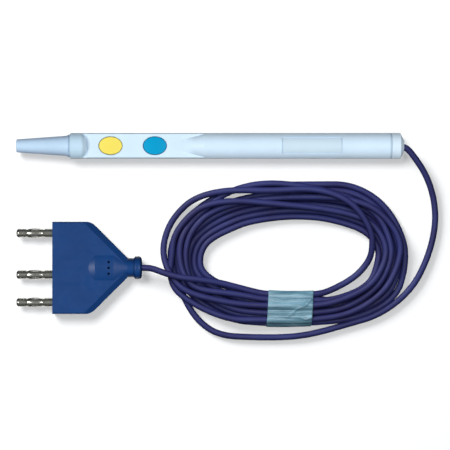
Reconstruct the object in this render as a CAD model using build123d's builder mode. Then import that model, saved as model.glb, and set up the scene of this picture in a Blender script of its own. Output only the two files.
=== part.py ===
from build123d import *
import os
from math import cos, pi, radians, sin, sqrt, tan

os.makedirs("parts", exist_ok=True)

# Electrosurgical pencil, its cord tied in a hank and its three-pin plug, in millimetres.
# The pencil lies along X, nose towards -X, underside on Z = 0, buttons upwards.

# Fits
fit_gap = 0.05            # between pieces that seat in each other
slide_gap = 0.2           # round a button in its window
overlap = 0.5             # how far an added rib reaches into the wall it grows from

# Handle
handle_length = 177.6
barrel_diameter = 11.8
wall = 1.2
nose_length = 24.4
cap_length = 5.6
joint_chamfer = 0.6       # at the front of the shells
nose_seam = 0.35          # at the back of the nose
seam_chamfer = 0.15       # at the rear cap
lip_thickness = 0.5       # joint lip between the shells
lip_height = 0.8
capture_rib_width = 1.0   # ribs that hold the nose and the cap
capture_rib_height = 0.6
spigot_length = 5.0
spigot_wall = 1.4

# Switch flat
flat_height = 2.5         # above the barrel's axis
collar_length = 5.2
dome_end_length = 2.6     # rounded end of the collar
gutter_width = 0.4
gutter_depth = 0.25
ramp_length = 15.0        # the rear body rises out of the flat
ramp_end_from_tip = 86.2
trough_from_tip = 35.0
trough_length = 36.2
trough_width = 9.6
trough_depth = 0.3
trough_slope = 2.0

# Buttons
cut_from_tip = 43.2
button_pitch = 20.3
window_length = 11.0
window_width = 8.5
window_chamfer = 0.25
button_proud = 0.2        # above the floor of the trough
crown_radius = 28.0
button_edge = 0.3
flange_length = 13.6
flange_width = 7.4
flange_thickness = 0.8
flange_corner = 1.5
plunger_radius = 1.2
plunger_length = 1.1
plunger_gap = 0.05

# Switch board
dome_radius = 3.0
dome_height = 0.55
dome_thickness = 0.12
board_thickness = 1.0
board_side_gap = 0.2
board_end_gap = 0.6
board_rear_margin = 11.7
rib_thickness = 2.0
rib_inset = 2.0
peg_radius = 0.7
peg_spread = 2.4
peg_proud = 0.3
peg_rib_width = 7.4

# Label
label_from_cap = 36.6
label_length = 26.8
label_width = 7.0
label_thickness = 0.3
label_margin = 0.3

# Nose and electrode socket
tip_radius = 3.0
tip_round = 0.4
cone_end_radius = 4.55
flare_length = 2.4
flare_radius = 5.2
hub_radius = 2.3
hub_depth = 8.0
socket_bore_radius = 1.2
socket_wall = 0.6
socket_length = 12.0
socket_mouth = 0.3
socket_back = 0.5
socket_slit = 0.3
socket_slit_length = 7.0
socket_flange_radius = 2.6
socket_flange = 1.0
strip_width = 1.6
strip_thickness = 0.4
strip_bend_start = 5.8
strip_bend_length = 3.0
strip_pad_length = 5.5

# Rear cap
cap_cone_length = 1.65
cap_end_radius = 2.6
cap_end_wall = 2.0
mouth_round = 0.9
cord_hole_gap = 0.1
ferrule_length = 3.0
ferrule_wall = 1.15
cord_inset = 5.4          # the jacket's end inside the cap, from the cap's end face

# Wires
wire_radius = 0.5
wire_pitch = 1.6
wire_circle = 0.75        # on which the wires leave the jacket
wire_fan_length = 20.0
wire_bend_radius = 60.0
wire_on_board = 4.5
wire_lift = 0.02
comb_shares = (0.3, 0.6)  # places of the wire ribs between the board and the cap
comb_width = 6.0

# Cord, tied in a hank
cord_diameter = 2.95
lead_heights = (5.3, 3.9, 2.2, 1.5)
lead_rest = 1.5
lead_start = 0.9          # straight run out of the cap
tail_start = 5.0          # straight run out of the plug
bend_share = 0.45         # of a run that each of its bends may take
hank_height = 5.6
hank_round = 2.2
hank_outer = ((5.5, -48.7, 28.5), (34.4, -45.9, 29.8), (59.6, -47.8, 30.8))
hank_inner = ((7.3, -51.5, 11.5), (39.0, -47.3, 13.8), (60.5, -47.8, 11.9))
band_centre = 36.7
band_length = 20.4
band_outer_y = -82.4
hank_width = 15.1
hank_corner = 2.4
tape_thickness = 0.2

# Plug
plug_face = (-72.15, -55.9)
plug_width = 42.2
plug_thickness = 8.4
shoulder_length = 17.5
shoulder_round = 5.8
plug_length = 34.3
plug_edge = 0.9
bevel_width = 2.4         # along the slanted edges
bevel_depth = 1.6
boss_start = 16.3
boss_peak = 19.5
boss_end = 28.0
boss_rise = 1.2           # above the flat of the body
boss_start_rise = -0.1
boss_width = 18.2
boss_start_width = 14.0
neck_radius = 4.35
neck_length = 3.0
bead_radius = 5.2
bead_length = 3.5
bead_round = 1.5
vent_radius = 0.55
vent_depth = 2.5
vent_pitch = 2.65
vent_from_face = 25.8

# Pins
pin_offsets = {"active": 15.875, "cut": -3.175, "coag": -15.875}
pin_length = 16.65
shank_radius = 2.0
shank_length = 3.7
pin_neck_radius = 1.45
head_radius = 1.95
head_length = 4.2
head_round = 1.2
anchor_radius = 2.6
anchor_depth = 1.5
anchor_width = 1.2
root_radius = 1.5
root_length = 8.5
spring_sheet = 0.25
spring_ring = 0.9
spring_bow = 0.45
spring_end_gap = 0.05
slot_width = 0.7
slot_angles = (45, 135)

# Places along the handle
barrel_radius = barrel_diameter / 2
bore_radius = barrel_radius - wall
axis_z = barrel_radius
x_tip = -handle_length / 2
x_end = handle_length / 2
x_front = x_tip + nose_length
x_rear = x_end - cap_length
shell_length = x_rear - x_front
x_dome = x_front + collar_length
x_flat = x_dome + dome_end_length
x_ramp_end = x_tip + ramp_end_from_tip
x_ramp = x_ramp_end - ramp_length
x_trough = x_tip + trough_from_tip
x_trough_end = x_trough + trough_length
x_cut = x_tip + cut_from_tip
x_coag = x_cut + button_pitch
x_label = x_rear - label_from_cap
x_nose_rib = x_front + spigot_length / 2 - capture_rib_width / 2
x_cap_rib = x_rear - spigot_length / 2 - capture_rib_width / 2

# Heights above the barrel's axis, from the switch flat down
panel_under = flat_height - wall
trough_floor = flat_height - trough_depth
flange_top = panel_under - fit_gap
flange_bottom = flange_top - flange_thickness
plunger_end = flange_bottom - plunger_length
board_top = plunger_end - plunger_gap - dome_height
board_bottom = board_top - board_thickness
board_half_width = sqrt(bore_radius**2 - board_bottom**2) - board_side_gap
x_board = x_front + spigot_length + board_end_gap
x_board_end = x_coag + board_rear_margin
x_peg = (x_cut + x_coag) / 2
wire_z = board_top + wire_radius + wire_lift

# Nose, socket and cap
spigot_radius = bore_radius - fit_gap
spigot_bore = spigot_radius - spigot_wall
capture_rib_radius = bore_radius - capture_rib_height
groove_radius = capture_rib_radius - fit_gap
x_web = x_tip + hub_depth
x_web_end = x_web + socket_length
x_socket_end = x_web_end + socket_flange
socket_radius = socket_bore_radius + socket_wall
cord_radius = cord_diameter / 2
cord_hole = cord_radius + cord_hole_gap
ferrule_radius = cord_radius + fit_gap + ferrule_wall
pocket_radius = ferrule_radius + fit_gap
x_ferrule_end = x_end - cap_end_wall
x_cord_start = x_end - cord_inset

# Hank, band and plug
hank_base = tape_thickness + fit_gap
hank_mid = hank_base + hank_height / 2
band_mid_y = band_outer_y + hank_width / 2
band_half = band_length / 2
plug_x, plug_y = plug_face
plug_half = plug_thickness / 2
plug_z = plug_half + boss_rise
x_neck_end = plug_x + plug_length + neck_length
x_bead_end = x_neck_end + bead_length

handle_axis = Axis((0, 0, axis_z), (1, 0, 0))
lower_sweep = Axis((0, 0, axis_z), (-1, 0, 0))   # turns a profile at +Y through the underside
handle_side = Plane(origin=(0, 0, axis_z), x_dir=(1, 0, 0), z_dir=(0, -1, 0))
handle_top = Plane(origin=(0, 0, axis_z))


def across(x, y=0.0, z=axis_z):
    """Plane across the X direction: local x is Y, local y is Z."""
    return Plane(origin=(x, y, z), x_dir=(0, 1, 0), z_dir=(1, 0, 0))


def route_radii(points):
    """Bend radius at each inner point of a route, from its shorter run and its turn."""
    radii = []
    for before, point, after in zip(points, points[1:], points[2:]):
        arriving = Vector(point) - Vector(before)
        leaving = Vector(after) - Vector(point)
        half_turn = radians(arriving.get_angle(leaving)) / 2
        radii.append(bend_share * min(arriving.length, leaving.length) / tan(half_turn))
    return radii


def save(builder, name):
    """Name a finished sub-part and write it out."""
    builder.part.label = name
    export_step(builder.part, f"parts/{name}.step")


# What is taken off above the switch flat, outside the collar's rounded end and the rising body
with BuildPart() as gutter_cut:
    with BuildSketch(handle_side):
        with BuildLine():
            Polyline((x_flat, flat_height), (x_flat, panel_under), (x_flat + gutter_width, panel_under),
                     (x_flat + gutter_width, barrel_diameter), (x_dome, barrel_diameter),
                     (x_dome, barrel_radius + fit_gap))
            EllipticalCenterArc((x_dome, flat_height), dome_end_length,
                                barrel_radius + fit_gap - flat_height, start_angle=0, arc_size=90)
        make_face()
    revolve(axis=handle_axis)
    split(bisect_by=Plane.XY.offset(axis_z + flat_height - gutter_depth), keep=Keep.TOP)

ramp_slope = (barrel_radius - flat_height) / ramp_length
with BuildPart() as flat_cut:
    with BuildSketch(handle_side):
        with BuildLine():
            Polyline((x_flat + gutter_width / 2, flat_height), (x_ramp, flat_height),
                     (x_ramp_end + overlap, barrel_radius + overlap * ramp_slope),
                     (x_ramp_end + overlap, barrel_diameter), (x_flat + gutter_width / 2, barrel_diameter),
                     close=True)
        make_face()
    revolve(axis=handle_axis)
    split(bisect_by=Plane.XY.offset(axis_z + flat_height), keep=Keep.TOP)

# Room inside the shells, with the same flat and rise one wall further in
with BuildPart() as room_cut:
    with BuildSketch(handle_side):
        with BuildLine():
            Polyline((x_dome, panel_under), (x_ramp, panel_under),
                     (x_ramp_end + overlap, bore_radius + overlap * ramp_slope),
                     (x_ramp_end + overlap, barrel_radius), (x_dome, barrel_radius), close=True)
        make_face()
    revolve(axis=handle_axis)
    split(bisect_by=Plane.XY.offset(axis_z + panel_under), keep=Keep.TOP)

with BuildPart() as room:
    with BuildSketch(across(x_front)):
        Circle(bore_radius)
    extrude(amount=shell_length)
    add(room_cut.part, mode=Mode.SUBTRACT)

# Upper shell: a half tube with the switch flat let into it
with BuildPart() as upper_shell:
    with BuildSketch(handle_side):
        with BuildLine():
            Polyline((x_front, 0), (x_front, barrel_radius - joint_chamfer),
                     (x_front + joint_chamfer, barrel_radius), (x_rear - seam_chamfer, barrel_radius),
                     (x_rear, barrel_radius - seam_chamfer), (x_rear, 0), close=True)
        make_face()
    revolve(axis=handle_axis)
    split(bisect_by=Plane.XY.offset(axis_z), keep=Keep.TOP)
    add(gutter_cut.part, mode=Mode.SUBTRACT)
    add(flat_cut.part, mode=Mode.SUBTRACT)
    add(room.part, mode=Mode.SUBTRACT)

    # Ribs that capture the nose and the cap
    with BuildSketch(handle_side):
        with Locations((x_nose_rib, capture_rib_radius), (x_cap_rib, capture_rib_radius)):
            Rectangle(capture_rib_width, capture_rib_height + overlap, align=(Align.MIN, Align.MIN))
    revolve(axis=handle_axis)
    split(bisect_by=Plane.XY.offset(axis_z), keep=Keep.TOP)

    # Rebate for the lower shell's lip
    with BuildSketch(across(x_front)):
        Circle(bore_radius + lip_thickness + fit_gap)
        Circle(bore_radius, mode=Mode.SUBTRACT)
        Rectangle(barrel_diameter, lip_height + fit_gap, align=(Align.CENTER, Align.MIN),
                  mode=Mode.INTERSECT)
    extrude(amount=shell_length, mode=Mode.SUBTRACT)

    # Finger trough with sloping ends, and the two windows
    with BuildSketch(handle_side):
        with BuildLine():
            Polyline((x_trough, flat_height), (x_trough + trough_slope, trough_floor),
                     (x_trough_end - trough_slope, trough_floor), (x_trough_end, flat_height),
                     close=True)
        make_face()
    extrude(amount=trough_width / 2, both=True, mode=Mode.SUBTRACT)
    with BuildSketch(Plane.XY.offset(axis_z + trough_floor)):
        with Locations((x_cut, 0), (x_coag, 0)):
            Ellipse(window_length / 2, window_width / 2)
    extrude(amount=-wall, mode=Mode.SUBTRACT)
    for x_button in (x_cut, x_coag):
        for depth in (0, window_chamfer):
            with BuildSketch(Plane.XY.offset(axis_z + trough_floor - depth)):
                with Locations((x_button, 0)):
                    Ellipse(window_length / 2 + window_chamfer - depth,
                            window_width / 2 + window_chamfer - depth)
        loft(mode=Mode.SUBTRACT)

    # Label recess
    with BuildSketch(across(x_label - label_length / 2 - label_margin)):
        Circle(barrel_radius)
        Circle(barrel_radius - label_thickness, mode=Mode.SUBTRACT)
        Rectangle(label_width + 2 * label_margin, barrel_radius, align=(Align.CENTER, Align.MIN),
                  mode=Mode.INTERSECT)
    extrude(amount=label_length + 2 * label_margin, mode=Mode.SUBTRACT)
save(upper_shell, "upper_shell")

# Lower shell: half a tube with the joint lip, cross ribs and stake pegs
with BuildPart() as lower_shell:
    with BuildSketch(handle_top):
        with BuildLine():
            Polyline((x_front, bore_radius), (x_front, barrel_radius - joint_chamfer),
                     (x_front + joint_chamfer, barrel_radius), (x_rear - seam_chamfer, barrel_radius),
                     (x_rear, barrel_radius - seam_chamfer), (x_rear, bore_radius), close=True)
        make_face()
        with Locations((x_nose_rib, capture_rib_radius), (x_cap_rib, capture_rib_radius)):
            Rectangle(capture_rib_width, capture_rib_height + overlap, align=(Align.MIN, Align.MIN))
    revolve(axis=lower_sweep, revolution_arc=180)
    with BuildSketch(across(x_front)):
        Circle(bore_radius + lip_thickness)
        Circle(bore_radius, mode=Mode.SUBTRACT)
        Rectangle(barrel_diameter, lip_height, align=(Align.CENTER, Align.MIN), mode=Mode.INTERSECT)
    extrude(amount=shell_length)

    # Ribs under the board and under the wires: place, height and width of each
    full_width = 2 * bore_radius
    ribs = [(x_board + rib_inset, board_bottom, full_width), (x_peg, board_bottom, peg_rib_width),
            (x_board_end - rib_inset, board_bottom, full_width)]
    ribs += [(x_board_end + share * (x_rear - x_board_end), wire_z - wire_radius - fit_gap, comb_width)
             for share in comb_shares]
    for x_rib, rib_top, rib_width in ribs:
        with BuildSketch(across(x_rib - rib_thickness / 2)):
            Circle(bore_radius + overlap)
            with Locations((0, rib_top)):
                Rectangle(rib_width, barrel_diameter, align=(Align.CENTER, Align.MAX), mode=Mode.INTERSECT)
        extrude(amount=rib_thickness)
    with BuildSketch(Plane.XY.offset(axis_z + board_bottom)):
        with Locations((x_peg, -peg_spread), (x_peg, peg_spread)):
            Circle(peg_radius)
    extrude(amount=board_thickness + peg_proud)
save(lower_shell, "lower_shell")

# Nose cone with its spigot, hub recess and socket seat
with BuildPart() as nose_cone:
    with BuildSketch(handle_side):
        with BuildLine():
            Polyline((x_front - nose_seam, flare_radius), (x_front, flare_radius - nose_seam),
                     (x_front, spigot_radius),
                     (x_front + spigot_length, spigot_radius), (x_front + spigot_length, spigot_bore),
                     (x_web_end, spigot_bore), (x_web_end, socket_radius + fit_gap),
                     (x_web, socket_radius + fit_gap), (x_web, hub_radius), (x_tip, hub_radius),
                     (x_tip, tip_radius - tip_round))
            RadiusArc((x_tip, tip_radius - tip_round), (x_tip + tip_round, tip_radius), tip_round)
            cone = Line((x_tip + tip_round, tip_radius), (x_front - flare_length, cone_end_radius))
            TangentArc(cone @ 1, (x_front - nose_seam, flare_radius), tangent=cone % 1)
        make_face()
        with Locations((x_nose_rib - fit_gap, spigot_radius)):
            Rectangle(capture_rib_width + 2 * fit_gap, spigot_radius - groove_radius,
                      align=(Align.MIN, Align.MAX), mode=Mode.SUBTRACT)
    revolve(axis=handle_axis)
save(nose_cone, "nose_cone")

# Electrode socket: slit barrel, flange and a strip down to the board
with BuildPart() as electrode_socket:
    with BuildSketch(handle_side):
        with BuildLine():
            Polyline((x_web, socket_bore_radius + socket_mouth), (x_web, socket_radius),
                     (x_web_end, socket_radius), (x_web_end, socket_flange_radius),
                     (x_socket_end, socket_flange_radius), (x_socket_end, 0),
                     (x_web_end - socket_back, 0), (x_web_end - socket_back, socket_bore_radius),
                     (x_web + socket_mouth, socket_bore_radius), close=True)
        make_face()
    revolve(axis=handle_axis)
    with BuildSketch(handle_side):
        with Locations((x_web, 0)):
            Rectangle(socket_slit_length, socket_slit, align=(Align.MIN, Align.CENTER))
    extrude(amount=socket_radius, both=True, mode=Mode.SUBTRACT)
    x_bend = x_socket_end + strip_bend_start
    x_land = x_bend + strip_bend_length
    with BuildSketch(handle_side):
        with BuildLine():
            Polyline((x_socket_end, strip_thickness / 2), (x_bend, strip_thickness / 2),
                     (x_land, board_top + strip_thickness),
                     (x_board + strip_pad_length, board_top + strip_thickness),
                     (x_board + strip_pad_length, board_top), (x_land, board_top),
                     (x_bend, -strip_thickness / 2), (x_socket_end, -strip_thickness / 2), close=True)
        make_face()
    extrude(amount=strip_width / 2, both=True)
save(electrode_socket, "electrode_socket")

# Switch board
with BuildPart() as switch_board:
    with BuildSketch(Plane.XY.offset(axis_z + board_bottom)):
        with Locations(((x_board + x_board_end) / 2, 0)):
            Rectangle(x_board_end - x_board, 2 * board_half_width)
        with Locations((x_peg, -peg_spread), (x_peg, peg_spread)):
            Circle(peg_radius + fit_gap, mode=Mode.SUBTRACT)
    extrude(amount=board_thickness)
save(switch_board, "switch_board")

# Snap domes and buttons
dome_sphere = (dome_radius**2 + dome_height**2) / (2 * dome_height)
for name, x_button in (("cut", x_cut), ("coag", x_coag)):
    with BuildPart() as snap_dome:
        with Locations((x_button, 0, axis_z + board_top + dome_height - dome_sphere)):
            Sphere(dome_sphere)
            Sphere(dome_sphere - dome_thickness, mode=Mode.SUBTRACT)
        split(bisect_by=Plane.XY.offset(axis_z + board_top), keep=Keep.TOP)
    save(snap_dome, f"{name}_dome")

    with BuildPart() as button:
        crown_z = axis_z + trough_floor + button_proud
        with BuildSketch(Plane.XY.offset(axis_z + flange_bottom)):
            with Locations((x_button, 0)):
                Ellipse(window_length / 2 - slide_gap, window_width / 2 - slide_gap)
        extrude(amount=crown_z - axis_z - flange_bottom)
        with Locations((x_button, 0, crown_z - crown_radius)):
            Sphere(crown_radius, mode=Mode.INTERSECT)
        fillet(button.faces().sort_by(Axis.Z)[-1].edges(), button_edge)
        with BuildSketch(Plane.XY.offset(axis_z + flange_bottom)):
            with Locations((x_button, 0)):
                RectangleRounded(flange_length, flange_width, flange_corner)
        extrude(amount=flange_thickness)
        with BuildSketch(Plane.XY.offset(axis_z + flange_bottom)):
            with Locations((x_button, 0)):
                Circle(plunger_radius)
        extrude(amount=-plunger_length)
    save(button, f"{name}_button")

# Blank label plate
with BuildPart() as label:
    with BuildSketch(across(x_label - label_length / 2)):
        Circle(barrel_radius)
        Circle(barrel_radius - label_thickness, mode=Mode.SUBTRACT)
        Rectangle(label_width, barrel_radius, align=(Align.CENTER, Align.MIN), mode=Mode.INTERSECT)
    extrude(amount=label_length)
save(label, "label")

# Rear cap with a rounded cord mouth, and the crimped ring inside it
with BuildPart() as rear_cap:
    with BuildSketch(handle_side):
        with BuildLine():
            Polyline((x_end - mouth_round, cord_hole), (x_ferrule_end, cord_hole),
                     (x_ferrule_end, pocket_radius), (x_rear - spigot_length, pocket_radius),
                     (x_rear - spigot_length, spigot_radius), (x_rear, spigot_radius),
                     (x_rear, barrel_radius - seam_chamfer), (x_rear + seam_chamfer, barrel_radius),
                     (x_end - cap_cone_length, barrel_radius), (x_end, cap_end_radius),
                     (x_end, cord_hole + mouth_round))
            RadiusArc((x_end, cord_hole + mouth_round), (x_end - mouth_round, cord_hole), mouth_round)
        make_face()
        with Locations((x_cap_rib - fit_gap, spigot_radius)):
            Rectangle(capture_rib_width + 2 * fit_gap, spigot_radius - groove_radius,
                      align=(Align.MIN, Align.MAX), mode=Mode.SUBTRACT)
    revolve(axis=handle_axis)
save(rear_cap, "rear_cap")

with BuildPart() as cord_ferrule:
    with BuildSketch(across(x_ferrule_end - ferrule_length)):
        Circle(ferrule_radius)
        Circle(cord_radius + fit_gap, mode=Mode.SUBTRACT)
    extrude(amount=ferrule_length)
save(cord_ferrule, "cord_ferrule")

# Wires from the cord's end to the board
for name, lane, angle in (("active", 0, 90), ("cut", 1, -30), ("coag", -1, 210)):
    wire_points = [
        (x_cord_start, wire_circle * cos(radians(angle)), axis_z + wire_circle * sin(radians(angle))),
        (x_cord_start - wire_fan_length, lane * wire_pitch, axis_z + wire_z),
        (x_board_end - wire_on_board, lane * wire_pitch, axis_z + wire_z)]
    with BuildPart() as wire:
        with BuildLine():
            FilletPolyline(*wire_points, radius=wire_bend_radius)
        with BuildSketch(Plane(wire_points[0], z_dir=Vector(wire_points[1]) - Vector(wire_points[0]))):
            Circle(wire_radius)
        sweep()
    save(wire, f"{name}_wire")

# Free stretch of the cord, from the cap round to the hank's left end
lead_points = [
    (x_cord_start, 0, axis_z), (x_end + lead_start, 0, axis_z), (95.4, -5.1, lead_heights[0]),
    (100.0, -12.7, lead_heights[1]), (103.6, -23.5, lead_heights[2]), (103.9, -36.3, lead_heights[3]),
    (100.0, -50.8, lead_rest), (92.2, -65.0, lead_rest), (78.0, -76.7, lead_rest),
    (51.4, -85.2, lead_rest), (34.4, -88.4, lead_rest), (18.3, -88.6, lead_rest),
    (5.0, -87.4, lead_rest), (-3.3, -82.0, lead_rest), (-8.8, -73.0, lead_rest),
    (-12.0, -66.1, lead_rest)]
# From the plug, over the hank's left end and down into it
tail_points = [
    (x_bead_end, plug_y, plug_z), (x_bead_end + tail_start, plug_y, plug_z), (-20.4, -58.3, 7.4),
    (-13.4, -60.6, 7.6), (-1.0, -61.3, 7.2), (11.9, -64.8, 5.6), (23.8, -68.4, 3.6)]
for name, points in (("cord_lead", lead_points), ("cord_tail", tail_points)):
    radii = route_radii(points)
    with BuildPart() as tube:
        with BuildLine() as route:
            FilletPolyline(*points, radius=radii)
        with BuildSketch(Plane(points[0], z_dir=Vector(points[1]) - Vector(points[0]))):
            Circle(cord_radius)
        sweep()
    route_length = route.wires()[0].length
    print(name, "length", round(route_length, 1), "radii", [round(radius, 1) for radius in radii],
          "volume ratio", round(tube.part.volume / (pi * cord_radius**2 * route_length), 4))
    save(tube, name)

# Hank: the outer shape of the tied turns
with BuildPart() as cord_hank:
    outer_corner_y = band_outer_y + hank_corner
    inner_corner_y = band_outer_y + hank_width + hank_corner
    with BuildSketch(Plane.XY.offset(hank_base)):
        with BuildLine() as outer_turns:
            for x, y, radius in hank_outer:
                CenterArc((x, y), radius, 0, 360)
            for side in (-1, 1):
                CenterArc((band_centre + side * band_half, outer_corner_y), hank_corner, 0, 360)
        make_hull(outer_turns.edges())
        with BuildLine() as inner_turns:
            for x, y, radius in hank_inner:
                CenterArc((x, y), radius, 0, 360)
            for side in (-1, 1):
                CenterArc((band_centre + side * band_half, inner_corner_y), hank_corner, 0, 360)
        make_hull(inner_turns.edges(), mode=Mode.SUBTRACT)
    extrude(amount=hank_height)
    fillet(cord_hank.faces().filter_by(Axis.Z).edges(), hank_round)
save(cord_hank, "cord_hank")

# Tape round the hank
with BuildPart() as tie_band:
    with BuildSketch(across(band_centre - band_half, band_mid_y, hank_mid)):
        grown = fit_gap + tape_thickness
        RectangleRounded(hank_width + 2 * grown, hank_height + 2 * grown, hank_round + grown)
        RectangleRounded(hank_width + 2 * fit_gap, hank_height + 2 * fit_gap, hank_round + fit_gap,
                         mode=Mode.SUBTRACT)
    extrude(amount=band_length)
save(tie_band, "tie_band")

# Plug: flat arrow-shaped body with bevelled slants, a low boss, neck and bead, and seats for the pins
plug_axis = Axis((plug_x, plug_y, plug_z), (1, 0, 0))
plug_side = Plane(origin=(plug_x, plug_y, plug_z), x_dir=(1, 0, 0), z_dir=(0, -1, 0))
slant_run = plug_length - shoulder_length
slant_rise = plug_width / 2 - neck_radius
slant = sqrt(slant_run**2 + slant_rise**2)
with BuildPart() as plug_body:
    with BuildSketch(Plane((plug_x, plug_y, plug_z - plug_half))) as outline:
        with BuildLine():
            Polyline((0, plug_width / 2), (shoulder_length, plug_width / 2), (plug_length, neck_radius),
                     (plug_length, -neck_radius), (shoulder_length, -plug_width / 2),
                     (0, -plug_width / 2), close=True)
        make_face()
        shoulders = [corner for corner in outline.vertices()
                     if abs(corner.X - plug_x - shoulder_length) < fit_gap
                     or abs(corner.X - shoulder_length) < fit_gap]
        fillet(shoulders, shoulder_round)
    extrude(amount=plug_thickness)
    rounded = plug_body.faces().filter_by(Axis.Z).edges().filter_by(
        lambda edge: plug_x + fit_gap < edge.center().X < plug_x + plug_length - fit_gap)
    fillet(rounded, plug_edge)
    for side in (-1, 1):
        for face in (-1, 1):
            edge_point = (plug_x + plug_length, plug_y + side * neck_radius,
                          plug_z + face * (plug_half - bevel_depth))
            along = Vector(-slant_run, side * slant_rise, 0) / slant
            inwards = Vector(-slant_rise, -side * slant_run, 0) / slant
            up_bevel = inwards * bevel_width + Vector(0, 0, face * bevel_depth)
            split(bisect_by=Plane(edge_point, x_dir=along, z_dir=along.cross(up_bevel) * side * face),
                  keep=Keep.BOTTOM)

    # Low boss over the cord's end, running into the neck
    boss_sections = ((boss_start, boss_start_width / 2, plug_half + boss_start_rise),
                     (boss_peak, boss_width / 2, plug_half + boss_rise),
                     (boss_end, boss_width / 2, plug_half + boss_rise),
                     (plug_length, neck_radius, neck_radius))
    for section, following in zip(boss_sections, boss_sections[1:]):
        for place, half_width, half_height in (section, following):
            with BuildSketch(across(plug_x + place, plug_y, plug_z)):
                Ellipse(half_width, half_height)
        loft(ruled=True)
    with BuildSketch(plug_side):
        with BuildLine():
            bead_start = plug_length + neck_length
            bead_end = bead_start + bead_length
            bead_step = bead_radius - neck_radius
            Polyline((bead_end, bead_radius - bead_round), (bead_end, 0), (plug_length - overlap, 0),
                     (plug_length - overlap, neck_radius), (bead_start, neck_radius))
            RadiusArc((bead_start, neck_radius), (bead_start + bead_step, bead_radius), bead_step)
            Line((bead_start + bead_step, bead_radius), (bead_end - bead_round, bead_radius))
            RadiusArc((bead_end - bead_round, bead_radius), (bead_end, bead_radius - bead_round), bead_round)
        make_face()
    revolve(axis=plug_axis)
    with BuildSketch(Plane.XY.offset(plug_z + plug_half + boss_rise)):
        for step in (-1, 0, 1):
            with Locations((plug_x + vent_from_face, plug_y + step * vent_pitch)):
                Circle(vent_radius)
    extrude(amount=-vent_depth, mode=Mode.SUBTRACT)
    for offset in pin_offsets.values():
        seat_axis = Axis((plug_x, plug_y + offset, plug_z), (1, 0, 0))
        with BuildSketch(plug_side.offset(-offset)):
            with BuildLine():
                Polyline((0, 0), (0, root_radius + fit_gap), (anchor_depth - fit_gap, root_radius + fit_gap),
                         (anchor_depth - fit_gap, anchor_radius + fit_gap),
                         (anchor_depth + anchor_width + fit_gap, anchor_radius + fit_gap),
                         (anchor_depth + anchor_width + fit_gap, root_radius + fit_gap),
                         (root_length + fit_gap, root_radius + fit_gap), (root_length + fit_gap, 0),
                         close=True)
            make_face()
        revolve(axis=seat_axis, mode=Mode.SUBTRACT)
save(plug_body, "plug_body")

# Turned pins and their slotted lantern springs
cage_start = -shank_length - spring_end_gap
cage_end = -pin_length + head_length + spring_end_gap
bow_start = cage_start - spring_ring
bow_end = cage_end + spring_ring
bow_middle = (bow_start + bow_end) / 2
ring_inner = pin_neck_radius + fit_gap
ring_outer = ring_inner + spring_sheet
for name, offset in pin_offsets.items():
    pin_axis = Axis((plug_x, plug_y + offset, plug_z), (1, 0, 0))
    pin_side = plug_side.offset(-offset)
    with BuildPart() as pin:
        with BuildSketch(pin_side):
            with BuildLine():
                Polyline((root_length, 0), (root_length, root_radius),
                         (anchor_depth + anchor_width, root_radius),
                         (anchor_depth + anchor_width, anchor_radius), (anchor_depth, anchor_radius),
                         (anchor_depth, root_radius), (0, root_radius), (0, shank_radius),
                         (-shank_length, shank_radius), (-shank_length, pin_neck_radius),
                         (-pin_length + head_length, pin_neck_radius),
                         (-pin_length + head_length, head_radius), (-pin_length + head_round, head_radius))
                RadiusArc((-pin_length + head_round, head_radius),
                          (-pin_length, head_radius - head_round), -head_round)
                Polyline((-pin_length, head_radius - head_round), (-pin_length, 0), (root_length, 0))
            make_face()
        revolve(axis=pin_axis)
    save(pin, f"{name}_pin")

    with BuildPart() as spring:
        with BuildSketch(pin_side):
            with BuildLine():
                Line((cage_start, ring_outer), (bow_start, ring_outer))
                ThreePointArc((bow_start, ring_outer), (bow_middle, ring_outer + spring_bow),
                              (bow_end, ring_outer))
                Polyline((bow_end, ring_outer), (cage_end, ring_outer), (cage_end, ring_inner),
                         (bow_end, ring_inner))
                ThreePointArc((bow_end, ring_inner), (bow_middle, ring_inner + spring_bow),
                              (bow_start, ring_inner))
                Polyline((bow_start, ring_inner), (cage_start, ring_inner), (cage_start, ring_outer))
            make_face()
        revolve(axis=pin_axis)
        for angle in slot_angles:
            slot_plane = Plane(origin=(plug_x + bow_middle, plug_y + offset, plug_z), x_dir=(1, 0, 0),
                               z_dir=(0, sin(radians(angle)), cos(radians(angle))))
            with BuildSketch(slot_plane):
                Rectangle(bow_start - bow_end, slot_width)
            extrude(amount=shank_radius + spring_bow, both=True, mode=Mode.SUBTRACT)
    save(spring, f"{name}_spring")
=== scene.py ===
import math

import bmesh
import bpy
import numpy as np
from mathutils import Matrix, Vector, noise


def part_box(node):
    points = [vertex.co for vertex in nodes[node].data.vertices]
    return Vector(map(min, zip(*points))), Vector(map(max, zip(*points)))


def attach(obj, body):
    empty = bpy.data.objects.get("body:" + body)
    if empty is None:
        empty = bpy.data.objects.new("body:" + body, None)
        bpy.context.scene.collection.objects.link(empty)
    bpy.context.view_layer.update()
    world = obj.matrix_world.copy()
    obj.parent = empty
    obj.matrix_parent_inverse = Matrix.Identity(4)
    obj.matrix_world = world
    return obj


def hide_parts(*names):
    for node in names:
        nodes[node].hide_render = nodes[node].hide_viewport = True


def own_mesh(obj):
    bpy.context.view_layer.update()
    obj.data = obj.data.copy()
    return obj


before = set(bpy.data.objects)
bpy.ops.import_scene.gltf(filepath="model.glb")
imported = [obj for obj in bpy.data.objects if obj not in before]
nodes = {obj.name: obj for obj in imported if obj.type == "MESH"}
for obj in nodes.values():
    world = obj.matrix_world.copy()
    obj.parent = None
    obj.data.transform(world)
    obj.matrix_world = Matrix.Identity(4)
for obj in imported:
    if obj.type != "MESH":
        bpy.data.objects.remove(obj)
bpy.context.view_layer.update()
scene = bpy.context.scene

MM_PER_M = 1000.0

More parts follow.
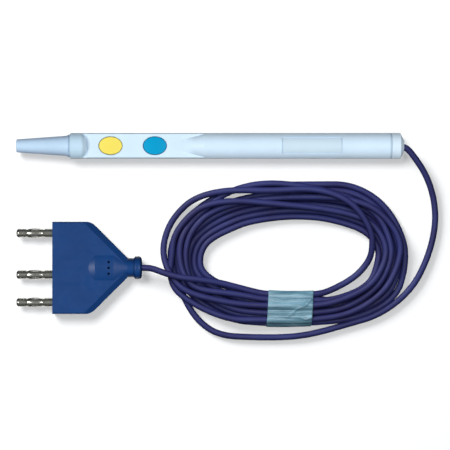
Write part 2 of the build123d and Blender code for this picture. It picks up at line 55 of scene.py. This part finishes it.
# Cord: its sizes and its exit from the cap, in metres
CORD_D = 0.00295
CORD_R = CORD_D / 2
CORD_STEPS = 10
CORD_BEVEL = 5
CORD_WELD = 0.000001

# The route, in millimetres: from the pencil's cap down to the table and round to the hank
LEAD = [
    (85.0, 0.0, 5.9), (89.4, 0.0, 5.9), (93.7, -5.0, 5.3), (99.1, -12.9, 3.9), (103.0, -23.5, 2.2),
    (104.0, -36.1, 1.5), (100.5, -51.0, 1.5), (92.9, -66.1, 1.5), (78.5, -77.6, 1.5),
    (62.6, -82.2, 1.5), (47.0, -86.6, 1.5), (34.4, -88.1, 1.5), (18.3, -88.0, 1.5), (5.0, -87.2, 1.5),
    (-3.9, -82.2, 1.5), (-9.8, -73.4, 1.5),
]

# The innermost and the outermost strand at the stations of one turn: up the left end,
# along the far side, down the right end and back through the tape
HANK = [
    ((0.9, -62.0), (-12.4, -68.9)), ((-4.4, -57.0), (-18.9, -60.2)), ((-5.6, -51.0), (-22.1, -50.5)),
    ((-3.3, -45.0), (-21.2, -41.4)), ((1.8, -40.9), (-15.9, -32.6)), ((9.1, -37.9), (-6.9, -24.1)),
    ((18.3, -34.7), (8.2, -19.8)), ((34.4, -32.4), (26.6, -17.5)), ((50.4, -32.9), (48.1, -18.2)),
    ((63.8, -36.8), (64.7, -19.6)), ((71.3, -41.8), (78.9, -27.6)), ((73.9, -47.8), (87.9, -42.3)),
    ((71.6, -53.8), (88.3, -55.1)), ((65.1, -60.2), (83.5, -69.5)), ((55.0, -66.1), (66.7, -78.6)),
    ((46.8, -68.7), (46.8, -80.9)), ((26.6, -68.9), (26.6, -81.1)), ((12.8, -66.6), (6.8, -79.5)),
]

# Each turn's place between the two, 0 innermost to 1 outermost, lower turns first
LANES = [
    (0.90, 0.74, 0.72, 0.70, 0.70, 0.75, 0.90, 0.95, 1.02,
     1.05, 1.02, 1.00, 1.05, 1.04, 1.02, 1.00, 1.00, 0.92),
    (0.76, 0.62, 0.57, 0.55, 0.53, 0.55, 0.63, 0.70, 0.83,
     0.90, 0.87, 0.82, 0.86, 0.86, 0.82, 0.76, 0.75, 0.72),
    (0.58, 0.47, 0.42, 0.40, 0.38, 0.40, 0.46, 0.51, 0.58,
     0.60, 0.64, 0.64, 0.70, 0.72, 0.66, 0.54, 0.48, 0.43),
    (0.38, 0.32, 0.27, 0.25, 0.24, 0.26, 0.30, 0.34, 0.39,
     0.43, 0.47, 0.51, 0.58, 0.61, 0.55, 0.32, 0.25, 0.22),
    (0.16, 0.15, 0.12, 0.10, 0.10, 0.12, 0.15, 0.17, 0.19,
     0.20, 0.30, 0.38, 0.46, 0.51, 0.45, 0.13, 0.00, 0.00),
    (-0.04, -0.03, -0.05, -0.05, -0.04, -0.01, 0.00, 0.00, 0.00,
     0.04, 0.13, 0.24, 0.33, 0.40, 0.32, 0.17, 0.12, 0.10),
    (0.48, 0.51, 0.50, 0.55, 0.62, 0.68, 0.92, 1.02, 0.90,
     0.72, 0.70, 0.62, 0.62, 0.57, 0.62, 0.63, 0.63, 0.60),
    (0.54, 0.41, 0.35, 0.39, 0.48, 0.54, 0.56, 0.57, 0.64,
     0.69, 0.80, 0.92, 0.85, 0.75, 0.82, 0.89, 0.89, 0.95),
    (1.02, 0.95, 0.73, 0.74, 0.76, 0.74, 0.63, 0.38, 0.29,
     0.31, 0.42, 0.47, 0.47, 0.42, 0.36, 0.35, 0.35, 0.42),
    (0.76, 0.89, 0.94, 0.96, 1.01, 0.99, 0.95, 0.79, 0.87,
     0.62, 0.26, 0.02, 0.03, 0.04, 0.02, -0.03, -0.03),
]

# How high each turn starts before it settles, in millimetres
LIFTS = [(1.5,) * 18] * 5 + [
    (1.5,) * 13 + (2.0, 3.4, 4.0, 4.0, 4.0),
    (4.4,) * 4 + (3.4, 2.4, 2.2, 3.4, 4.2) + (4.4,) * 9,
    (4.4,) * 18,
    (4.6,) * 2 + (4.9,) * 14 + (4.6, 5.2),
    (6.6, 5.4, 2.6, 1.6, 1.6, 2.8, 5.4, 6.0, 6.6, 7.4, 6.8, 5.4, 3.6, 3.0, 4.4, 6.4, 6.6),
]

# From the tape over the hank's left end to the plug
TAIL = [
    (19.7, -67.0, 7.0), (12.4, -64.9, 7.4), (5.0, -62.9, 7.6), (-3.6, -61.5, 7.8), (-13.2, -60.5, 7.7),
    (-20.4, -58.6, 7.2), (-26.4, -56.2, 5.6), (-30.0, -55.9, 5.4), (-34.5, -55.9, 5.4),
]

# How the cord settles, round by round: it sinks, is pushed apart where strands meet, and is smoothed
ROUNDS = 320
SAMPLES = 4
SINK = 0.00004
# Strands that lie together press a little into each other's soft jacket
STRAND_GAP = 0.97 * CORD_D
NEAR = 2.6 * CORD_D
NEAR_EVERY = 8
OWN_SPANS = 3
CROWDING = 0.7
PUSH_START, PUSH_FADE = 1.8, 1.2
SMOOTH_OWN, SMOOTH_NEXT = 0.88, 0.06
# The upper turns keep to their places, and the lower ones make room
HOLD_LOWER, HOLD_UPPER = 0.96, 0.8
UPPER_TURNS = 5
PLUG_POINTS = 3
TINY = 1e-9


def hank_points():
    """Control points of the hank's turns, set out so that the line runs through the chosen places."""
    places = []
    for turn, (shares, lifts) in enumerate(zip(LANES, LIFTS)):
        for station, (share, lift) in enumerate(zip(shares, lifts)):
            if turn == 0 and station == 0:
                continue
            inner, outer = HANK[station]
            places.append((inner[0] + (outer[0] - inner[0]) * share,
                           inner[1] + (outer[1] - inner[1]) * share, lift))
    places = np.array(places)
    # A quadratic spline stays an eighth of the second difference inside its control points
    pushed = places.copy()
    pushed[1:-1, :2] += (2 * places[1:-1, :2] - places[:-2, :2] - places[2:, :2]) / 8
    return [tuple(point) for point in pushed]


def line_weights(count):
    """Weights that turn control points into points on the quadratic spline."""
    weights = np.zeros(((count - 2) * SAMPLES, count))
    for span in range(count - 2):
        for k in range(SAMPLES):
            t = k / SAMPLES
            row = span * SAMPLES + k
            weights[row, span:span + 3] = ((1 - t) ** 2 / 2, (1 + 2 * t - 2 * t * t) / 2, t * t / 2)
    return weights


def settle(points, free, hold):
    """Lets the strands sink on to the table and on to each other."""
    rest = np.array(points) / MM_PER_M
    at = rest.copy()
    weights = line_weights(len(at))
    number = np.arange(len(weights) - 1)
    apart = np.abs(number[:, None] - number[None, :]) > OWN_SPANS * SAMPLES
    spread = weights[:-1].T / np.maximum(weights[:-1].T.sum(axis=1, keepdims=True), TINY)
    for turn in range(ROUNDS):
        at[:, 2] -= SINK * free
        line = weights @ at
        start, run = line[:-1], line[1:] - line[:-1]
        if turn % NEAR_EVERY == 0:
            gap = start[:, None, :] - start[None, :, :]
            first, second = np.nonzero((np.einsum("ijk,ijk->ij", gap, gap) < NEAR ** 2) & apart)
        along = np.einsum("ij,ij->i", start[first] - start[second], run[second])
        along = np.clip(along / np.einsum("ij,ij->i", run[second], run[second]), 0, 1)
        away = start[first] - (start[second] + run[second] * along[:, None])
        distance = np.maximum(np.linalg.norm(away, axis=1), TINY)
        push = np.maximum(STRAND_GAP - distance, 0)
        hit = push > 0
        step = away[hit] / distance[hit, None] * push[hit, None] / 2
        move = np.zeros_like(start)
        hits = np.zeros(len(start))
        np.add.at(move, first[hit], step)
        np.add.at(hits, first[hit], 1)
        np.add.at(move, second[hit], -step)
        np.add.at(hits, second[hit], 1)
        move /= np.maximum(hits, 1)[:, None] ** CROWDING
        at += (spread @ move) * free[:, None] * (PUSH_START - PUSH_FADE * turn / ROUNDS)
        drift = at - rest
        drift[:, :2] *= hold[:, None]
        smooth = drift.copy()
        smooth[1:-1] = SMOOTH_OWN * drift[1:-1] + SMOOTH_NEXT * (drift[:-2] + drift[2:])
        at = rest + np.where(free[:, None] > 0, smooth, 0.0)
        at[:, 2] = np.maximum(at[:, 2], CORD_R)
    return at


def cord_line():
    """Control points of the whole cord, settled. The lead and the end at the plug stay where they are."""
    route = LEAD + hank_points() + TAIL
    free = np.ones(len(route))
    free[:len(LEAD) - 1] = 0.0
    free[-PLUG_POINTS:] = 0.0
    hold = np.full(len(route), HOLD_LOWER)
    hold[-UPPER_TURNS * len(HANK) - len(TAIL):] = HOLD_UPPER
    return settle(route, free, hold)


def make_cord(line):
    """The cord's tube, and the points of the smooth line it follows."""
    curve = bpy.data.curves.new("cord", "CURVE")
    curve.dimensions = "3D"
    spline = curve.splines.new("NURBS")
    spline.points.add(len(line) - 1)
    for point, place in zip(spline.points, line):
        point.co = (place[0], place[1], place[2], 1.0)
    spline.order_u = 3
    spline.use_endpoint_u = True
    spline.resolution_u = CORD_STEPS
    made = bpy.data.objects.new("cord_line", curve)
    path = [tuple(vertex.co) for vertex in bpy.data.meshes.new_from_object(made).vertices]
    curve.bevel_depth = CORD_R
    curve.bevel_resolution = CORD_BEVEL
    curve.use_fill_caps = True
    tube = bpy.data.meshes.new_from_object(made)
    bpy.data.objects.remove(made)
    tube.name = "cord"
    solid = bmesh.new()
    solid.from_mesh(tube)
    bmesh.ops.remove_doubles(solid, verts=solid.verts, dist=CORD_WELD)
    solid.to_mesh(tube)
    solid.free()
    cord = bpy.data.objects.new("cord", tube)
    scene.collection.objects.link(cord)
    return cord, path


cord, cord_path = make_cord(cord_line())
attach(cord, "pencil")
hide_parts("cord_lead", "cord_hank", "cord_tail")

# Tape: a strip wound a little over once round the strands and drawn in between them, in metres
TAPE_X = (0.0264, 0.0470)
TAPE_MIDDLE = -0.0748
TAPE_TOP = -0.055
TAPE_T = 0.00012
TAPE_REACH = CORD_R + 0.00016
TAPE_SLANT = 0.06
TAPE_COLUMNS = 49
TAPE_ROUND = 240
TAPE_LAP = 40
TAPE_LAP_LIFT = 0.00014
TAPE_SPREAD = 5
TAPE_ANGLES = 721
# How far the film is drawn in: a share of the gap to the strands, up to a limit
TAPE_DRAWN, TAPE_DRAWN_LIMIT = 0.6, 0.0005
# Wrinkles, none at the start of the film and on the table
BROAD_WRINKLE, FINE_WRINKLE, EDGE_WANDER = 0.00007, 0.00004, 0.00012
WRINKLE_START = 6
WRINKLE_LEVEL = 0.0006
TAPE_LOWEST = 0.00007
# Two folds on the tape's upper side, each from one point to another
TAPE_FOLDS = [((0.0353, -0.0788), (0.0462, -0.0708)), ((0.0385, -0.0790), (0.0466, -0.0792))]
FOLD_HEIGHT = 0.00032
FOLD_WIDTH = 0.0005
FOLD_WANDER = 0.0012
FOLD_LEVEL = 0.004


def strands_at(x, strands):
    """Where the strands of the hank cross a slanted line through the tape."""
    centres = []
    for p, q in zip(strands, strands[1:]):
        before = p[0] - x - TAPE_SLANT * (p[1] - TAPE_MIDDLE)
        after = q[0] - x - TAPE_SLANT * (q[1] - TAPE_MIDDLE)
        if before * after <= 0 and before != after:
            centre = p + (q - p) * (before / (before - after))
            if centre[1] < TAPE_TOP:
                centres.append(centre[1:])
    return np.array(centres)


def tape_outline(support, normals, centres):
    """Points round the tape at one section, drawn in between the strands, from its lower corner."""
    turned = np.stack([-normals[:, 1], normals[:, 0]], axis=1)
    slope = np.gradient(support, 2 * math.pi / (len(support) - 1))
    hull = normals * support[:, None] + turned * slope[:, None]
    length = np.concatenate([[0], np.cumsum(np.linalg.norm(np.diff(hull, axis=0), axis=1))])
    places = np.linspace(0, length[-1], TAPE_ROUND)
    outline = np.stack([np.interp(places, length, hull[:, k]) for k in (0, 1)], axis=1)
    towards = outline.mean(axis=0) - outline
    towards /= np.linalg.norm(towards, axis=1, keepdims=True)
    clear = np.min(np.linalg.norm(outline[:, None] - centres[None], axis=2), axis=1) - TAPE_REACH
    return outline + towards * np.clip(TAPE_DRAWN * clear, 0, TAPE_DRAWN_LIMIT)[:, None]


def tape_outlines(places):
    """The tape's outline at each place along it, from how far the strands reach in each direction."""
    strands = np.array(cord_path)[(len(LEAD) + 2) * CORD_STEPS:]
    sections = [strands_at(x, strands) for x in places]
    angles = np.linspace(-0.5 * math.pi, 1.5 * math.pi, TAPE_ANGLES)
    normals = np.stack([np.cos(angles), np.sin(angles)], axis=1)
    reach = np.array([(normals @ centres.T).max(axis=1) for centres in sections]) + TAPE_REACH
    # The most of the neighbouring sections, then smoothed
    for smooth in (np.max, np.mean):
        reach = np.array([smooth(reach[max(k - TAPE_SPREAD, 0):k + TAPE_SPREAD + 1], axis=0)
                          for k in range(len(places))])
    return [tape_outline(row, normals, centres) for row, centres in zip(reach, sections)]


def wrinkle_height(x, k):
    """Broad wrinkles along the strands, and fine ones among them."""
    broad = noise.noise(Vector((x * 70, k * 0.17, 1.3)))
    fine = noise.noise(Vector((x * 180 + k * 0.02, k * 0.45, 7.1)))
    return broad * BROAD_WRINKLE + fine * FINE_WRINKLE


def fold_height(x, y):
    """How far the folds lift the tape at a place. They start flat and wander a little."""
    height = 0.0
    place = np.array((x, y + FOLD_WANDER * noise.noise(Vector((x * 420, 0.0, 5.2)))))
    for start, end in TAPE_FOLDS:
        run = np.subtract(end, start)
        share = np.clip(np.dot(place - start, run) / np.dot(run, run), 0, 1)
        distance = np.linalg.norm(place - start - share * run)
        height = max(height, FOLD_HEIGHT * share ** 0.5 * math.exp(-(distance / FOLD_WIDTH) ** 2))
    return height


def tape_ring(share, x, outline):
    """Places round the tape at one section, with its lap, wrinkles and folds."""
    ring = []
    for k in range(TAPE_ROUND + TAPE_LAP):
        y, z = outline[k % (TAPE_ROUND - 1)]
        before = outline[(k - 1) % (TAPE_ROUND - 1)]
        after = outline[(k + 1) % (TAPE_ROUND - 1)]
        normal = Vector((after[1] - before[1], -(after[0] - before[0]))).normalized()
        slant = (y - TAPE_MIDDLE) * TAPE_SLANT
        lift = TAPE_LAP_LIFT * k / TAPE_ROUND
        if k >= WRINKLE_START and z >= WRINKLE_LEVEL:
            lift += wrinkle_height(x, k)
        if z > FOLD_LEVEL:
            lift += fold_height(x + slant, y)
        edge = noise.noise(Vector((k * 0.06, share * 40, 3.7))) * EDGE_WANDER
        ring.append((x + slant + edge, y + normal[0] * lift, max(z + normal[1] * lift, TAPE_LOWEST)))
    return ring


def make_tape():
    shares = np.linspace(0, 1, TAPE_COLUMNS)
    places = TAPE_X[0] + (TAPE_X[1] - TAPE_X[0]) * shares
    mesh = bmesh.new()
    grid = []
    for share, x, outline in zip(shares, places, tape_outlines(places)):
        grid.append([mesh.verts.new(place) for place in tape_ring(share, x, outline)])
    for first, second in zip(grid, grid[1:]):
        for k in range(len(first) - 1):
            face = mesh.faces.new((first[k], first[k + 1], second[k + 1], second[k]))
            face.smooth = True
    bmesh.ops.recalc_face_normals(mesh, faces=mesh.faces)
    data = bpy.data.meshes.new("tape")
    mesh.to_mesh(data)
    mesh.free()
    tape = bpy.data.objects.new("tape", data)
    scene.collection.objects.link(tape)
    solid = tape.modifiers.new("thickness", "SOLIDIFY")
    solid.thickness = TAPE_T
    solid.offset = -1
    return tape


tape = make_tape()
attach(tape, "pencil")
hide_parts("tie_band")

# Snap domes: they give way under the buttons, so each is a piece of its own
domes = []
for switch in ("cut", "coag"):
    dome = bpy.data.objects.new(f"{switch}_snap_dome", nodes[f"{switch}_dome"].data.copy())
    scene.collection.objects.link(dome)
    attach(dome, "pencil")
    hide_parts(f"{switch}_dome")
    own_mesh(dome)
    domes.append(dome)


# Materials
class Look:
    """A material under construction: a shader with the nodes that feed it."""

    def __init__(self, name):
        self.material = bpy.data.materials.new(name)
        self.material.use_nodes = True
        self.tree = self.material.node_tree
        self.shader = self.tree.nodes["Principled BSDF"]
        coordinates = self.node("ShaderNodeTexCoord")
        self.place = coordinates.outputs["Object"]
        self.facing = coordinates.outputs["Normal"]

    def node(self, kind, **values):
        made = self.tree.nodes.new(kind)
        for key, value in values.items():
            setattr(made, key, value)
        return made

    def set(self, **values):
        for key, value in values.items():
            self.shader.inputs[key.replace("_", " ")].default_value = value
        return self

    def noise(self, scale, detail=3.0, stretch=(1, 1, 1)):
        mapping = self.node("ShaderNodeMapping")
        mapping.inputs["Scale"].default_value = stretch
        self.tree.links.new(self.place, mapping.inputs["Vector"])
        made = self.node("ShaderNodeTexNoise")
        made.inputs["Scale"].default_value = scale
        made.inputs["Detail"].default_value = detail
        self.tree.links.new(mapping.outputs["Vector"], made.inputs["Vector"])
        return made.outputs["Fac"]

    def ramp(self, factor, stops):
        """A blend from stop to stop, each a position and a colour or a grey."""
        made = self.node("ShaderNodeValToRGB")
        elements = made.color_ramp.elements
        while len(elements) < len(stops):
            elements.new(0.5)
        for element, (position, colour) in zip(elements, stops):
            element.position = position
            element.color = (*colour, 1.0) if isinstance(colour, tuple) else (colour, colour, colour, 1.0)
        self.tree.links.new(factor, made.inputs["Fac"])
        return made.outputs["Color"]

    def along(self, start, end):
        """The place along the pencil, 0 at start to 1 at end."""
        split = self.node("ShaderNodeSeparateXYZ")
        self.tree.links.new(self.place, split.inputs["Vector"])
        span = self.node("ShaderNodeMapRange")
        span.inputs["From Min"].default_value = start
        span.inputs["From Max"].default_value = end
        self.tree.links.new(split.outputs["X"], span.inputs["Value"])
        return span.outputs["Result"]

    def steps_along(self, stops):
        """Tones at places along the pencil, blended from each to the next."""
        start, end = stops[0][0], stops[-1][0]
        shares = [((x - start) / (end - start), tone) for x, tone in stops]
        return self.ramp(self.along(start, end), shares)

    def upward(self):
        """How far the surface faces up: 0 on an upright wall, 1 on a level face."""
        split = self.node("ShaderNodeSeparateXYZ")
        self.tree.links.new(self.facing, split.inputs["Vector"])
        return split.outputs["Z"]

    def levelled(self, amount):
        """The surface's direction, turned straight up by the given amount."""
        mix = self.node("ShaderNodeMixRGB")
        mix.inputs["Color2"].default_value = (0.0, 0.0, 1.0, 1.0)
        self.tree.links.new(amount, mix.inputs["Fac"])
        self.tree.links.new(self.facing, mix.inputs["Color1"])
        unit = self.node("ShaderNodeVectorMath", operation="NORMALIZE")
        self.tree.links.new(mix.outputs["Color"], unit.inputs[0])
        return unit.outputs["Vector"]

    def times(self, first, second):
        made = self.node("ShaderNodeMixRGB", blend_type="MULTIPLY")
        made.inputs["Fac"].default_value = 1.0
        self.tree.links.new(first, made.inputs["Color1"])
        self.tree.links.new(second, made.inputs["Color2"])
        return made.outputs["Color"]

    def feed(self, name, socket):
        self.tree.links.new(socket, self.shader.inputs[name])
        return self

    def bump(self, height, strength, distance, normal=None):
        made = self.node("ShaderNodeBump")
        made.inputs["Strength"].default_value = strength
        made.inputs["Distance"].default_value = distance
        self.tree.links.new(height, made.inputs["Height"])
        if normal:
            self.tree.links.new(normal, made.inputs["Normal"])
        self.tree.links.new(made.outputs["Normal"], self.shader.inputs["Normal"])
        return self


def shade(colour, factor):
    return tuple(min(1.0, channel * factor) for channel in colour)


def plastic(name, colour, rough=(0.4, 0.5), vary=0.05, grain=2600.0, depth=0.00002, specular=0.5,
            tones_and_shade=None, painted_wall_shade=None, level=None):
    """Moulded plastic: slow colour drift, a fine spark texture and uneven gloss.

    tones_and_shade go along the pencil and hold colour tones as well as painted shade, painted_wall_shade
    is painted shade on faces that stand up, and level is how far faces along the pencil that look up are
    shaded as if they lay flat.
    """
    look = Look(name)
    look.set(Specular_IOR_Level=specular)
    drift = [(0.3, shade(colour, 1 - vary)), (0.7, shade(colour, 1 + vary))]
    base = look.ramp(look.noise(scale=90.0, detail=4.0), drift)
    if tones_and_shade:
        base = look.times(base, look.steps_along(tones_and_shade))
    # Painted shade: faces that stand up are darkened
    if painted_wall_shade:
        base = look.times(base, look.ramp(look.upward(), [(0.35, painted_wall_shade), (0.9, 1.0)]))
    look.feed("Base Color", base)
    gloss = look.noise(scale=420.0, detail=5.0)
    look.feed("Roughness", look.ramp(gloss, [(0.3, rough[0]), (0.7, rough[1])]))
    normal = None
    if level:
        looking_up = look.ramp(look.upward(), [(0.6, 0.0), (0.75, 1.0)])
        normal = look.levelled(look.times(look.steps_along(level), looking_up))
    look.bump(look.noise(scale=grain, detail=2.0), strength=0.25, distance=depth, normal=normal)
    return look.material


def metal(name, colour, dark, rough=(0.18, 0.34)):
    """Turned or drawn metal: fine marks round the axis and a dark film in patches."""
    look = Look(name)
    look.set(Metallic=1.0)
    stains = look.noise(scale=380.0, detail=6.0, stretch=(1, 6, 6))
    gloss = look.noise(scale=900.0, detail=4.0, stretch=(1, 6, 6))
    marks = look.noise(scale=2200.0, detail=2.0, stretch=(6, 1, 1))
    look.feed("Base Color", look.ramp(stains, [(0.35, dark), (0.65, colour)]))
    look.feed("Roughness", look.ramp(gloss, [(0.3, rough[0]), (0.7, rough[1])]))
    look.bump(marks, strength=0.2, distance=0.00002)
    return look.material


def coat(thing, material):
    thing.data.materials.clear()
    thing.data.materials.append(material)


def dress(names, material):
    for name in names:
        coat(nodes[name], material)


# The collar is a shade deeper than the handle, and the joint with the cap is darkened with painted shade
COLLAR_TONE = (0.81, 0.87, 0.89)
COLLAR_LENGTH, COLLAR_BLEND = 0.0075, 0.0012
# Painted shade: the last strip of the shell before the cap is darker, as a groove's shadow
JOINT_PAINTED_SHADE = (0.56, 0.59, 0.64)
JOINT_WIDTH, JOINT_BLEND = 0.0005, 0.0002
shell_start, shell_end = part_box("upper_shell")[0][0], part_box("upper_shell")[1][0]
collar_end = shell_start + COLLAR_LENGTH
joint_start = shell_end - JOINT_WIDTH
housing_tones_and_joint_shade = [(shell_start, COLLAR_TONE), (collar_end - COLLAR_BLEND, COLLAR_TONE), (collar_end, 1.0),
                 (joint_start - JOINT_BLEND, 1.0), (joint_start, JOINT_PAINTED_SHADE), (shell_end, JOINT_PAINTED_SHADE)]
# Behind the buttons the barrel is shaded as if it rose out of the flat softly, and its edge shows only
# further along
run_out = [(-0.019, 0.0), (-0.018, 1.0), (-0.013, 1.0), (-0.007, 0.0)]
SHELL_ROUGH = (0.34, 0.46)
# Painted shade on the buttons' upright walls, as the shadow of their wells
BUTTON_WALL_SHADE = (0.3, 0.3, 0.3)
dress(["upper_shell", "lower_shell"], plastic("housing", (0.62, 0.78, 0.92), SHELL_ROUGH, vary=0.02,
                                              specular=0.3, tones_and_shade=housing_tones_and_joint_shade, level=run_out))
dress(["rear_cap"], plastic("cap", (0.66, 0.80, 0.92), SHELL_ROUGH, vary=0.02, specular=0.3))
# The nose's upright faces carry painted shade
dress(["nose_cone"], plastic("nose", (0.48, 0.65, 0.83), rough=(0.36, 0.5), vary=0.025, specular=0.3,
                             painted_wall_shade=(0.80, 0.80, 0.86)))
dress(["label"], plastic("label", (0.57, 0.71, 0.82), rough=(0.5, 0.6), vary=0.02, grain=3600.0,
                         depth=0.000012, specular=0.2))
dress(["cut_button"], plastic("button_yellow", (0.86, 0.715, 0.115), vary=0.03, specular=0.2,
                              painted_wall_shade=BUTTON_WALL_SHADE))
dress(["coag_button"], plastic("button_blue", (0.0, 0.31, 0.57), vary=0.04, specular=0.08,
                               painted_wall_shade=BUTTON_WALL_SHADE))
# The plug's upright faces and fillets carry painted shade
dress(["plug_body"], plastic("plug", (0.004, 0.042, 0.170), SHELL_ROUGH, vary=0.08, grain=1900.0,
                             depth=0.00003, specular=0.25, painted_wall_shade=(0.45, 0.36, 0.40)))
dress(["switch_board"], plastic("board", (0.02, 0.13, 0.05), rough=(0.4, 0.55), vary=0.15))
dress(["active_wire"], plastic("wire_white", (0.75, 0.75, 0.72)))
dress(["cut_wire"], plastic("wire_yellow", (0.75, 0.55, 0.06)))
dress(["coag_wire"], plastic("wire_blue", (0.02, 0.09, 0.4)))
dress(["electrode_socket", "cord_ferrule"], metal("brass", (0.72, 0.5, 0.18), (0.5, 0.32, 0.1)))
steel = metal("spring_steel", (0.5, 0.5, 0.5), (0.36, 0.36, 0.37))
dress(["cut_dome", "coag_dome"], steel)
for dome in domes:
    coat(dome, steel)
dress(["active_pin", "cut_pin", "coag_pin"], metal("nickel", (0.62, 0.62, 0.55), (0.50, 0.50, 0.44)))
dress(["active_spring", "cut_spring", "coag_spring"],
      metal("spring_leaf", (0.66, 0.66, 0.59), (0.54, 0.54, 0.48), rough=(0.16, 0.3)))

# Painted shade: the cord's jacket is darker and more purple on its flanks and on faces that look down
jacket = Look("cord_jacket")
jacket.set(Specular_IOR_Level=0.18)
jacket_base = jacket.ramp(jacket.noise(scale=60.0, detail=5.0), [
    (0.32, (0.020, 0.020, 0.092)), (0.68, (0.026, 0.033, 0.140))])
jacket_flank_shade = jacket.ramp(jacket.upward(), [(0.25, (0.46, 0.32, 0.46)), (0.72, 1.0)])
jacket.feed("Base Color", jacket.times(jacket_base, jacket_flank_shade))
jacket_gloss = jacket.noise(scale=500.0, detail=4.0)
jacket.feed("Roughness", jacket.ramp(jacket_gloss, [(0.3, 0.42), (0.7, 0.56)]))
jacket.bump(jacket.noise(scale=1500.0, detail=3.0), strength=0.2, distance=0.00003)
coat(cord, jacket.material)

# The tape is a glossy film, streaked along the strands
film = Look("tape")
film.set(Transmission_Weight=0.1, IOR=1.3, Coat_Weight=0.4, Coat_Roughness=0.12)
film_streaks = film.noise(scale=120.0, detail=4.0, stretch=(0.6, 3.0, 3.0))
film_gloss = film.noise(scale=300.0, detail=3.0, stretch=(0.4, 2.0, 2.0))
film_creases = film.noise(scale=260.0, detail=4.0, stretch=(0.3, 2.0, 2.0))
film.feed("Base Color", film.ramp(film_streaks, [
    (0.30, (0.068, 0.150, 0.215)), (0.50, (0.130, 0.270, 0.350)), (0.72, (0.235, 0.430, 0.535))]))
film.feed("Roughness", film.ramp(film_gloss, [(0.3, 0.18), (0.7, 0.4)]))
film.bump(film_creases, strength=0.35, distance=0.00012)
coat(tape, film.material)

# Stage: a sheet of white paper
FLOOR_HALF = 2.0
floor_mesh = bpy.data.meshes.new("floor")
floor_mesh.from_pydata([(-FLOOR_HALF, -FLOOR_HALF, 0), (FLOOR_HALF, -FLOOR_HALF, 0),
                        (FLOOR_HALF, FLOOR_HALF, 0), (-FLOOR_HALF, FLOOR_HALF, 0)], [], [(0, 1, 2, 3)])
floor = bpy.data.objects.new("floor", floor_mesh)
scene.collection.objects.link(floor)
paper = Look("floor")
paper.set(Specular_IOR_Level=0.1, Roughness=0.9)
paper.feed("Base Color", paper.ramp(paper.noise(scale=30.0), [
    (0.3, (0.94, 0.945, 0.95)), (0.7, (0.96, 0.965, 0.97))]))
coat(floor, paper.material)
floor.visible_diffuse = False
floor.visible_glossy = False

# The sky is brightest overhead and fades to the horizon. Behind the floor's edge it is as pale as the floor
world = bpy.data.worlds.new("world")
scene.world = world
world.use_nodes = True
sky = world.node_tree
sky_place = sky.nodes.new("ShaderNodeTexCoord")
sky_split = sky.nodes.new("ShaderNodeSeparateXYZ")
sky_ramp = sky.nodes.new("ShaderNodeValToRGB")
sky_ramp.color_ramp.elements[0].color = (0.01, 0.01, 0.011, 1)
sky_ramp.color_ramp.elements[1].color = (0.22, 0.228, 0.235, 1)
sky_seen = sky.nodes.new("ShaderNodeLightPath")
sky_mix = sky.nodes.new("ShaderNodeMixRGB")
sky_mix.inputs["Color2"].default_value = (0.90, 0.91, 0.92, 1)
sky.links.new(sky_place.outputs["Generated"], sky_split.inputs["Vector"])
sky.links.new(sky_split.outputs["Z"], sky_ramp.inputs["Fac"])
sky.links.new(sky_seen.outputs["Is Camera Ray"], sky_mix.inputs["Fac"])
sky.links.new(sky_ramp.outputs["Color"], sky_mix.inputs["Color1"])
sky.links.new(sky_mix.outputs["Color"], sky.nodes["Background"].inputs["Color"])

# Lamps, all aimed at the middle of the part
LAMP_AIM = Vector((0.007, -0.036, 0.0))


def group(name, things, state="INCLUDE"):
    """A collection that a lamp is kept to, or kept away from."""
    made = bpy.data.collections.new(name)
    for thing in things:
        made.objects.link(thing)
    for member in made.collection_objects:
        member.light_linking.link_state = state
    return made


def softbox(name, place, size, energy, lit, shaded_by=None):
    data = bpy.data.lights.new(name, "AREA")
    data.shape = "DISK"
    data.size = size
    data.energy = energy
    light = bpy.data.objects.new(name, data)
    scene.collection.objects.link(light)
    light.location = place
    light.light_linking.receiver_collection = lit
    if shaded_by:
        light.light_linking.blocker_collection = shaded_by
    light.rotation_euler = (LAMP_AIM - Vector(place)).to_track_quat("-Z", "Y").to_euler()


strands_only = group("strands_only", (cord, tape))
all_but_strands = group("all_but_strands", (cord, tape), "EXCLUDE")
table = group("table", (floor, cord, tape))
all_but_table = group("all_but_table", (floor, cord, tape), "EXCLUDE")
floor_only = group("floor_only", (floor,))
all_but_floor = group("all_but_floor", (floor,), "EXCLUDE")
# Two lamps at the sides light the pencil and the plug
softbox("left", (-0.78, -0.05, 0.88), 0.45, 9.2, all_but_table)
softbox("right", (0.60, -0.05, 1.0), 0.45, 7.8, all_but_table)
# A low one throws the cord's shadow, a steeper one the other shadows, and a wide one fills the strands
softbox("cord_key", (-2.20, 2.16, 1.80), 1.65, 122.0, table, strands_only)
softbox("solid_key", (-1.10, 1.44, 3.06), 1.65, 80.0, floor_only, all_but_strands)
softbox("overhead", (-0.05, 0.15, 1.3), 1.0, 11.0, strands_only)
# Light that the floor throws back on the flanks of the pencil and the plug
softbox("bounce_front", (0.0, -1.0, -1.0), 0.8, 2.2, all_but_table, all_but_floor)
softbox("bounce_back", (0.0, 1.0, -1.0), 0.8, 2.2, all_but_table, all_but_floor)

camera_data = bpy.data.cameras.new("camera")
camera = bpy.data.objects.new("camera", camera_data)
scene.collection.objects.link(camera)
camera.location = (0.0068, -0.0363, 1.0)
camera_data.sensor_width = 36.0
camera_data.lens = 173.4
scene.camera = camera
scene.view_settings.view_transform = "Standard"

bpy.context.view_layer.update()
